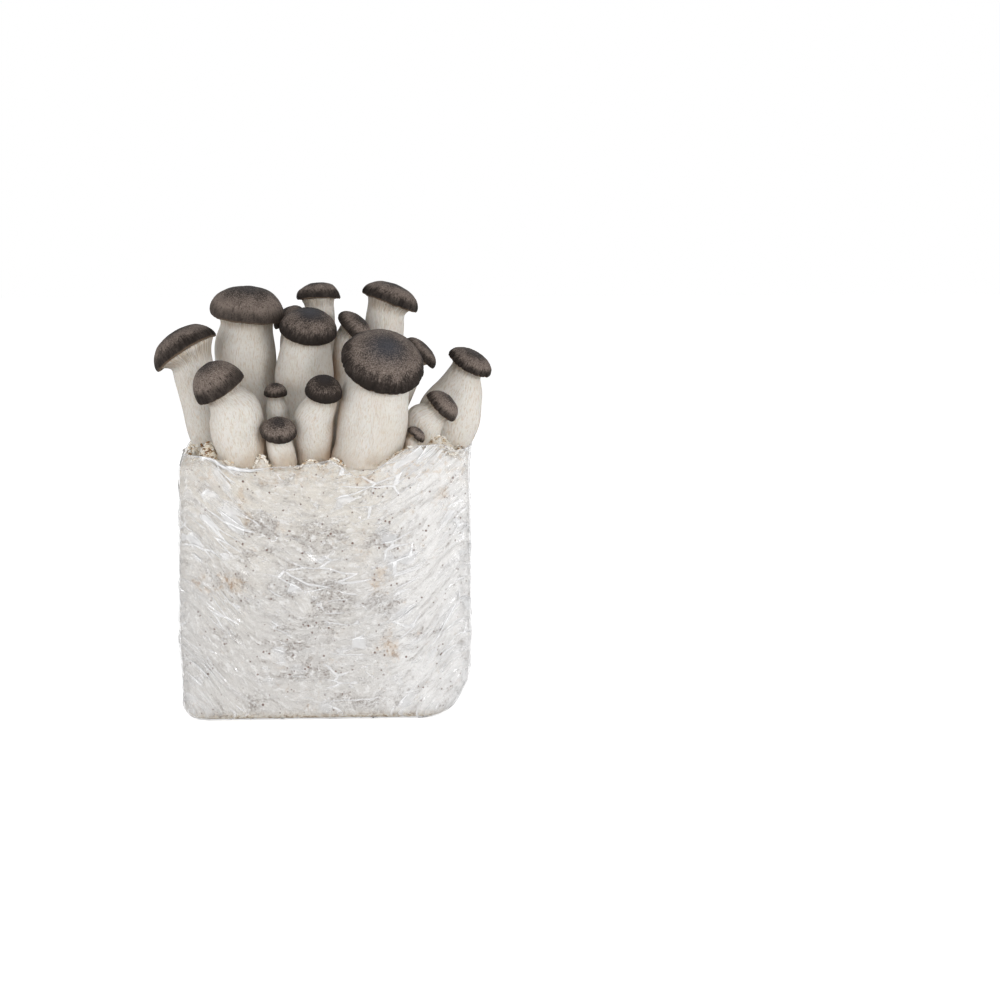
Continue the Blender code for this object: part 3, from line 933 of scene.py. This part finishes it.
def crumb_batch(count):
    """Some crumbs as one mesh, each with its own tint."""
    bm = bmesh.new()
    tint, = shares_of(bm, "tint")
    small, large = CRUMB_SIZE
    for _ in range(count):
        x, y, _ = crumb_place()
        long = small * MM + (large - small) * MM * crumb_luck.random() ** 2
        thin = long * crumb_luck.uniform(0.25, 0.6)
        colour = crumb_luck.random()
        turn = Matrix.Rotation(crumb_luck.uniform(0, tau), 4, "Z")
        turn = turn @ Matrix.Rotation(crumb_luck.uniform(-CRUMB_TILT, CRUMB_TILT), 4, "Y")
        matrix = Matrix.Translation((x, y, BLOCK_TOP + top_lift(x, y) + thin * 0.4)) @ turn
        matrix = matrix @ Matrix.Diagonal((long, thin, thin * 0.7, 1))
        chip = bmesh.ops.create_icosphere(bm, subdivisions=1, radius=1, matrix=matrix)["verts"]
        for vert in chip:
            vert[tint] = colour
            vert.co += Vector([crumb_luck.uniform(-1, 1) for _ in range(3)]) * thin * CRUMB_JITTER
    mesh = bpy.data.meshes.new("batch")
    bm.to_mesh(mesh)
    bm.free()
    return mesh


def scatter_crumbs():
    """All the crumbs, gathered from small batches, which grow faster than one large mesh."""
    bm = bmesh.new()
    for _ in range(CRUMB_COUNT // CRUMB_BATCH):
        batch = crumb_batch(CRUMB_BATCH)
        bm.from_mesh(batch)
        bpy.data.meshes.remove(batch)
    return finished(bm, "crumbs", [])


crumbs = scatter_crumbs()
print("crumbs:", len(crumbs.data.polygons), "faces")


# %% [markdown]
# ## The film bag
# The bag is thin clear film, drawn tight round the block and cut open above it. Its plan is a
# rectangle with bevelled corners, and the wall is grown from that outline ring by ring: round the
# foot, up the sides and out to the uneven rim, which folds over a little. The film is then pressed
# into wrinkles. On the broad sides they hang like nested garlands from the upper corners, so the
# wrinkle noise is drawn out along such curves. A Solidify modifier gives the film its thickness.

# %% The outline of the bag
FINE, COARSE = 1.5 * MM, 2.2 * MM
WALL_STEP = 1.5 * MM
SHELL = 0.25 * MM
RIM_START = 150 * MM            # where the rings begin to follow the rim


def bag_outline(bm):
    """The bag's plan as a ring of edges, finer along the front."""
    bmesh.ops.create_grid(bm, x_segments=1, y_segments=1, size=0.5)
    bmesh.ops.scale(bm, vec=(BLOCK_WIDTH, BLOCK_DEPTH, 1), verts=bm.verts)
    bmesh.ops.bevel(bm, geom=bm.verts[:], offset=CORNER_ROUND, segments=10, profile=0.5,
                    affect="VERTICES", material=-1)
    bmesh.ops.delete(bm, geom=bm.faces[:], context="FACES_ONLY")
    for edge in bm.edges[:]:
        front = all(v.co.y < -BLOCK_DEPTH / 4 for v in edge.verts)
        cuts = round(edge.calc_length() / (FINE if front else COARSE)) - 1
        if cuts > 0:
            bmesh.ops.subdivide_edges(bm, edges=[edge], cuts=cuts)
    return bm.edges[:]


# %% The wrinkles of the bag
def crease(x, y, z, seed, sharp):
    """A thin ridge wherever noise crosses nothing."""
    return (1 - min(1.0, abs(2.2 * wander(x, y, z, seed)))) ** sharp


def film_relief(co):
    """How far the film stands off the block at a point of its wall."""
    x, y, z = co.x / MM, co.y / MM, co.z / MM
    hang = z - drape_at(x, y) + 5 * wander(x / 26, y / 26, z / 26, 1)
    some = step_up(wander(x / 24, y / 24, z / 24, 21), -0.15, 0.35)
    long = 0.55 * some * crease(x / 34, y / 34, hang / 12, 2, 4)
    cross = 0.35 * (1 - some) * crease(x / 26, y / 26, (hang + 0.25 * x) / 10, 4, 5)
    corner = step_up(abs(x), 70, 92) * 0.5 * crease(x / 8, y / 8, z / 60 + 0.01 * y, 6, 3)
    return (0.15 + long + cross + corner) * MM


# %% The skin of the bag
HEM = ((-0.25, 0.1), (-0.45, -0.2), (-0.5, -0.8))       # inset and height of the folded rim's rings, in mm
RIM_RINGS = 16
TEAR, TEAR_SPACING = 0.6 * MM, 7 * MM
FOLDED_AT = 60                  # how far left of the middle the rim is folded over most, in mm
FOLD_ENDS = (8, 22)             # how far from there that begins and stops to fade, in mm
FOLD_OVER = 1.6                 # how much further the rim is folded there, of the rest


def bag_levels():
    """(inset, height, share of the rim) of each ring, from the flat base up to the folded rim."""
    turns = [radians(a) for a in range(0, 90, 9)]
    arc = [(FOOT_ROUND * (1 - sin(a)), FOOT_ROUND * (1 - cos(a)), 0.0) for a in turns]
    count = int((RIM_START - FOOT_ROUND) / WALL_STEP)
    wall = [(0.0, FOOT_ROUND + WALL_STEP * i, 0.0) for i in range(count)]
    top = [(0.0, RIM_START, (i + 1) / RIM_RINGS) for i in range(RIM_RINGS)]
    hem = [(inset * MM, RIM_START + drop * MM, 1.0) for inset, drop in HEM]
    return arc + wall + top + hem


def bag_skin():
    """The wrinkled bag, closed below and open above."""
    bm = bmesh.new()
    rim, = shares_of(bm, "rim")
    share_up = {}
    base = edges = bag_outline(bm)
    for index, (inset, height, share) in enumerate(bag_levels()):
        ring, edges = next_ring(bm, edges) if index else (bm.verts[:], edges)
        for vert in ring:
            spot, _ = on_outline(vert.co, inset - FILM_GAP)
            torn = TEAR * wander(spot.x / TEAR_SPACING, spot.y / TEAR_SPACING, 0.0, 25)
            rise = (BLOCK_TOP + torn + rim_at(spot.x, spot.y)[0] - RIM_START) * share
            aside = abs(spot.x / MM + FOLDED_AT)
            folded = FOLD_OVER * (1 - step_up(aside, *FOLD_ENDS)) if inset < 0 else 0
            spot, _ = on_outline(vert.co, inset * (1 + folded) - FILM_GAP)
            vert.co = spot + UP * (SHELL + height + rise + (height - RIM_START) * folded)
            share_up[vert] = share
    flat_base = bmesh.ops.contextual_create(bm, geom=base)["faces"][0]
    for vert in bm.verts:
        co = vert.co.copy()
        way = on_outline(co, 0)[1]
        foot = step_up(co.z, 0, FOOT_ROUND)
        vert[rim] = step_up(share_up[vert], 0.90, 1.0)
        vert.co += way * (wall_at(co, 0) + foot * film_relief(co)) + corner_cut(co)
    bmesh.ops.recalc_face_normals(bm, faces=bm.faces)
    flat_base.normal_update()
    if flat_base.normal.z > 0:
        bmesh.ops.reverse_faces(bm, faces=bm.faces)
    piece = finished(bm, "film_bag", ["bag"])
    wall = piece.modifiers.new("Film", "SOLIDIFY")
    wall.thickness = SHELL
    wall.offset = 1
    return piece


bag = bag_skin()
print("film:", len(bag.data.polygons), "faces")

# %% [markdown]
# ## Finishes
# All finishes are made of noise on the pieces' own coordinates. The flesh of the stems reads its
# grain attribute, where the third axis runs along the stem, so its fibres are noise drawn out
# along that axis. The caps read theirs with the crown in the middle, and a second one that holds
# only the direction from the crown and the way along the skin: noise on that gives rays.

# %% The flesh of the stems
CREAM = (0.765, 0.735, 0.685, 1)
WARM = (0.64, 0.55, 0.45, 1)
TAN = (0.44, 0.32, 0.205, 1)
GILL_TAN = (0.46, 0.37, 0.28, 1)
# brown of crowded flesh, deepened as painted shade between stems
RECESS_BROWN_AND_SHADE = (0.42, 0.275, 0.165, 1)


def rays(grain, count):
    """The direction of a point from the middle axis as a vector, for patterns that run straight out."""
    unit = grain.vectors("NORMALIZE", stretched(grain, 1, 1, 0))
    return stretched(unit, count, count, 0)


def stem_flesh(wire):
    grain = in_mm(wire, "grain")
    gill, foot = share_of(wire, "gill"), share_of(wire, "foot")
    near = share_of(wire, "near")
    fibre = cloud(stretched(grain, 1, 1, 0.17), 0.6, 2, 0.6)
    tick = smooth(cloud(stretched(grain, 1, 1, 0.28), 0.65, 2, 0.6), 0.58, 0.70)
    patch = smooth(cloud(stretched(grain, 1, 1, 0.5), 14, 3), 0.40, 0.70)
    ridge = cloud(rays(grain, 26), 1.0, 2)
    lines = smooth(ridge, 0.38, 0.60)
    colour = layered(
        CREAM,
        (patch * 0.30, WARM),
        ((1 - smooth(fibre, 0.36, 0.50)) * 0.80, WARM),
        (tick * 0.26, TAN),
        (smooth(foot * (0.3 + fibre + 0.5 * patch), 0.25, 1.2) * 0.55, TAN),
        (smooth(gill, 0.30, 1.0) * (0.14 + 0.66 * lines), GILL_TAN),
        # partly the brown of crowded flesh, partly painted shade where neighbouring stems keep the light
        # out
        (near * near * (0.50 + 0.35 * patch), RECESS_BROWN_AND_SHADE))
    bump = relief((fibre, 1.0 * MM), (ridge * gill, 1.2 * MM))
    return {"Base Color": colour, "Roughness": 0.6, "Normal": bump,
            "Subsurface Weight": 0.12, "Subsurface Scale": 0.003,
            "Subsurface Radius": (1.0, 0.6, 0.35), "Specular IOR Level": 0.25}


dress(stems, "stem_flesh", stem_flesh)

# %% The skin of the caps
CAP_EDGE = (0.013, 0.0095, 0.0075, 1)
CAP_DARK = (0.030, 0.022, 0.018, 1)
CAP_MID = (0.220, 0.175, 0.149, 1)
CAP_PALE = (0.46, 0.405, 0.36, 1)
CAP_BLUE = (0.070, 0.071, 0.082, 1)
# brown of the gills, darkened as painted shade
CAP_UNDER = (0.20, 0.145, 0.10, 1)


def cap_velvet(wire):
    grain, ray = in_mm(wire, "grain"), in_mm(wire, "ray")
    reach, under, tone = share_of(wire, "reach"), share_of(wire, "under"), share_of(wire, "tone")
    near_edge = smooth(reach, 0.60, 0.98)
    fibril = cloud(stretched(ray, 1, 1, 0.28), 1.15, 2, 0.6)
    felt = cloud(grain, 0.85, 2, 0.7)
    patch = smooth(cloud(grain, 11, 3, 0.6), 0.36, 0.64)
    texture = felt + (fibril - felt) * (near_edge * 0.7)
    uneven = reach + (cloud(grain, 9, 2) - 0.5) * 0.40 - share_of(wire, "band")
    # ring: the cap's palest band, partly its own colour and partly painted light
    ring = smooth(uneven, -0.60, 0.0) * (1 - smooth(uneven, 0.08, 0.34))
    shade = smooth(texture, 0.40, 0.64) * 0.46 + patch * 0.24 + ring * 0.58 + tone - 0.16
    sparkle = smooth(texture, 0.54, 0.68) * (0.10 + 0.16 * ring + 0.10 * patch + tone * 0.5)
    pit = (1 - smooth(texture, 0.33, 0.48)) * (0.40 + 0.40 * near_edge)
    # rim: the margin darker, partly its own colour and partly painted shade where it rolls under
    rim = smooth(reach + (fibril - 0.5) * 0.30, 0.90, 1.04)
    crown = 1 - smooth(reach + (felt - 0.5) * 0.5, 0.0, 0.72)
    colour = layered(
        CAP_DARK,
        (smooth(shade, 0.0, 1.05), CAP_MID),
        (crown * share_of(wire, "bluish"), CAP_BLUE),
        (sparkle, CAP_PALE),
        (pit, CAP_EDGE),
        (rim * 0.75, CAP_EDGE),
        # painted shade in the grooves between the margin's lobes
        (share_of(wire, "groove") * 0.9, CAP_EDGE),
        # the underside: gill brown, partly painted shade where the cap faces down
        (under, CAP_UNDER))
    bump = relief((felt, 0.5 * MM), (fibril * near_edge, 0.6 * MM))
    return {"Base Color": colour, "Roughness": 0.62, "Normal": bump, "Specular IOR Level": 0.14}


for cap, shape in zip(caps, MUSHROOMS):
    for name in ("tone", "band", "bluish"):
        mark = cap.data.attributes.new(name, "FLOAT", "POINT")
        mark.data.foreach_set("value", [getattr(shape, name)] * len(cap.data.vertices))
dress(caps, "cap_skin", cap_velvet)

# %% The mycelium of the block
MYCELIUM = (0.69, 0.668, 0.642, 1)
WARM_MYCELIUM = (0.74, 0.695, 0.625, 1)
# white of dense growth, also used to paint light on the right side
DENSE_WHITE_AND_LIGHT = (0.92, 0.91, 0.90, 1)
DULL = (0.48, 0.455, 0.435, 1)
GRAIN = (0.19, 0.145, 0.115, 1)
STAIN = (0.60, 0.44, 0.28, 1)
RUST = (0.33, 0.20, 0.11, 1)
SPECK_BROWN = (0.12, 0.042, 0.018, 1)


def hung(spot):
    """Object coordinates with the height measured along the garlands of the film."""
    size = spot.vectors("ABSOLUTE", spot)
    cube = spot.vectors("MULTIPLY", spot.vectors("MULTIPLY", size, size), size)
    climb = spot.vectors("DOT_PRODUCT", cube, (*DRAPE, 0), output="Value")
    return spot.vectors("SUBTRACT", spot, spot.node("ShaderNodeCombineXYZ", {}, {"Z": climb}))


def drawn(garland, share):
    """The garlands' coordinates with the pattern drawn out along them."""
    return stretched(garland, share, share, 1)


def across_of(spot):
    return spot.node("ShaderNodeSeparateXYZ", {}, {0: spot})


def height_of(spot):
    return spot.node("ShaderNodeSeparateXYZ", {}, {0: spot}, 2)


def mycelium(wire):
    spot = in_mm(wire)
    garland = warped(warped(hung(spot), 34, 20), 9, 4)
    patch, stained = share_of(wire, "patch"), share_of(wire, "stain")
    ragged = cloud(drawn(garland, 0.5), 6, 4, 0.7)
    streak = cloud(drawn(garland, 0.28), 3.2, 3)
    tuft = cloud(drawn(garland, 0.65), 2.6, 3, 0.7)
    grit = cloud(stretched(spot, 0.8, 0.8, 1), 1.25, 3, 0.7)
    sooty = smooth(patch * 0.26 + ragged, 0.52, 0.74)
    grains = smooth(grit + (ragged - 0.5) * 0.25, 0.47, 0.61)
    dots = 1 - smooth(cells(spot, 3.6, "Distance") + (cloud(spot, 5, 1) - 0.5) * 0.55, 0.09, 0.20)
    browned = smooth(height_of(spot), 152, 168) * smooth(cloud(spot, 4, 4, 0.7), 0.48, 0.62)
    # painted light: the right side of the block whitened, where the key lamp falls on it most
    painted_light_right = smooth(across_of(spot) + (ragged - 0.5) * 90, 18, 62) * 0.8
    tan = smooth(stained * 0.30 + cloud(warped(spot, 8, 8), 7, 4, 0.7), 0.58, 0.84)
    vein = 1 - smooth(wire.maths("ABSOLUTE", cloud(warped(spot, 9, 9), 9, 2) - 0.5), 0.005, 0.028)
    warm = smooth(cloud(spot, 40, 1) * 0.5 + height_of(spot) * 0.0042, 0.50, 0.95)
    some = smooth(cloud(spot, 10, 2) + sooty * 0.10 + warm * 0.05, 0.45, 0.54)
    # the crumbly top: cream, tan and brown growth, with the darkest stop painting shade in the gaps
    # between crumbs
    crumbly = wire.node("ShaderNodeValToRGB", {"stops": (
        (0.36, (0.13, 0.07, 0.035, 1)), (0.43, (0.50, 0.35, 0.21, 1)), (0.50, (0.84, 0.76, 0.63, 1)),
        (0.66, (0.93, 0.90, 0.84, 1)))}, {"Fac": cloud(spot, 3.0, 3, 0.7)})
    colour = layered(
        MYCELIUM,
        (warm, WARM_MYCELIUM),
        (painted_light_right, DENSE_WHITE_AND_LIGHT),
        # painted shade in the low parts of the soft wrinkles
        ((1 - smooth(streak, 0.32, 0.54)) * (0.38 + 0.14 * painted_light_right), DULL),
        (sooty * 0.55, DULL),
        (grains * (0.09 + 0.62 * sooty), GRAIN),
        (smooth(tuft, 0.52, 0.64) * (0.56 + 0.25 * sooty), DENSE_WHITE_AND_LIGHT),
        (tan * 0.42, STAIN),
        (browned * 0.45, STAIN),
        (vein * tan * 0.7, RUST),
        (dots * some * 0.95, SPECK_BROWN),
        (share_of(wire, "top"), crumbly))
    bump = relief((streak, 0.9 * MM), (tuft, 1.0 * MM), (grit, 0.5 * MM))
    return {"Base Color": colour, "Roughness": 0.75, "Normal": bump, "Specular IOR Level": 0.25}


dress([block], "mycelium", mycelium)


# %% The crumbs
def crumb(wire):
    tint = share_of(wire, "tint")
    colour = wire.node("ShaderNodeValToRGB", {"stops": (
        (0.0, (0.07, 0.035, 0.018, 1)), (0.12, (0.36, 0.20, 0.09, 1)), (0.22, (0.78, 0.62, 0.42, 1)),
        (0.40, (0.93, 0.87, 0.76, 1)), (1.0, (0.96, 0.94, 0.90, 1)))}, {"Fac": tint})
    bump = relief((cloud(in_mm(wire), 0.6, 2), 0.3 * MM))
    return {"Base Color": colour, "Roughness": 0.85, "Normal": bump}


dress([crumbs], "crumb", crumb)


# %% The film
def clear_film(wire):
    spot = in_mm(wire)
    garland = warped(hung(spot), 40, 12)
    rim = share_of(wire, "rim")
    crumpled = smooth(cloud(spot, 24, 2), 0.46, 0.64)
    glint_patches = smooth(cloud(spot, 9, 2), 0.56, 0.72)
    # sides: where the film turns edge-on, whitened in the alpha as a painted reflection
    sides = smooth(wire.maths("ABSOLUTE", across_of(spot)), 66, 92)
    arcs = cracks(drawn(garland, 0.25), 9)
    glint_cells = cracks(drawn(garland, 0.5), 4)
    # painted highlights: thin white arcs, short glint lines and bright panes along the crumpled film
    arc = smooth(crumpled * 0.042 - arcs, 0.0, 0.02)
    glint_line = smooth(glint_patches * 0.06 - glint_cells, 0.0, 0.025)
    streak = smooth(cloud(drawn(garland, 0.12), 5.5, 3), 0.50, 0.64)
    glint_pane = smooth(across_of(cells(drawn(garland, 0.5), 7, "Color")), 0.85, 0.86) * crumpled
    hem = 1 - smooth(wire.maths("ABSOLUTE", across_of(spot) + FOLDED_AT), 10, 24)
    calm = 1 - smooth(height_of(spot), 128, 158) * 0.6
    # The alpha: a faint haze of the film itself, with painted highlights laid on it as white streaks,
    # arcs, glint lines and panes
    haze_and_glints = (0.03 + streak * calm * (0.08 + 0.14 * sides) + arc * 0.55 + glint_line * calm * 0.42 + glint_pane * 0.42
            + sides * 0.08 + rim * (0.12 + 0.60 * hem))
    bump = relief((facets(drawn(garland, 0.7), 6) * calm, 0.6 * MM),
                  (cloud(drawn(garland, 0.25), 5, 2) * calm, 0.7 * MM),
                  (smooth(arcs, 0.0, 0.10), 0.35 * MM))
    return {"Base Color": (0.97, 0.97, 0.975, 1), "Roughness": 0.12, "Normal": bump,
            "Alpha": haze_and_glints, "IOR": 1.6, "Specular IOR Level": 1.0}


dress([bag], "clear_film", clear_film)
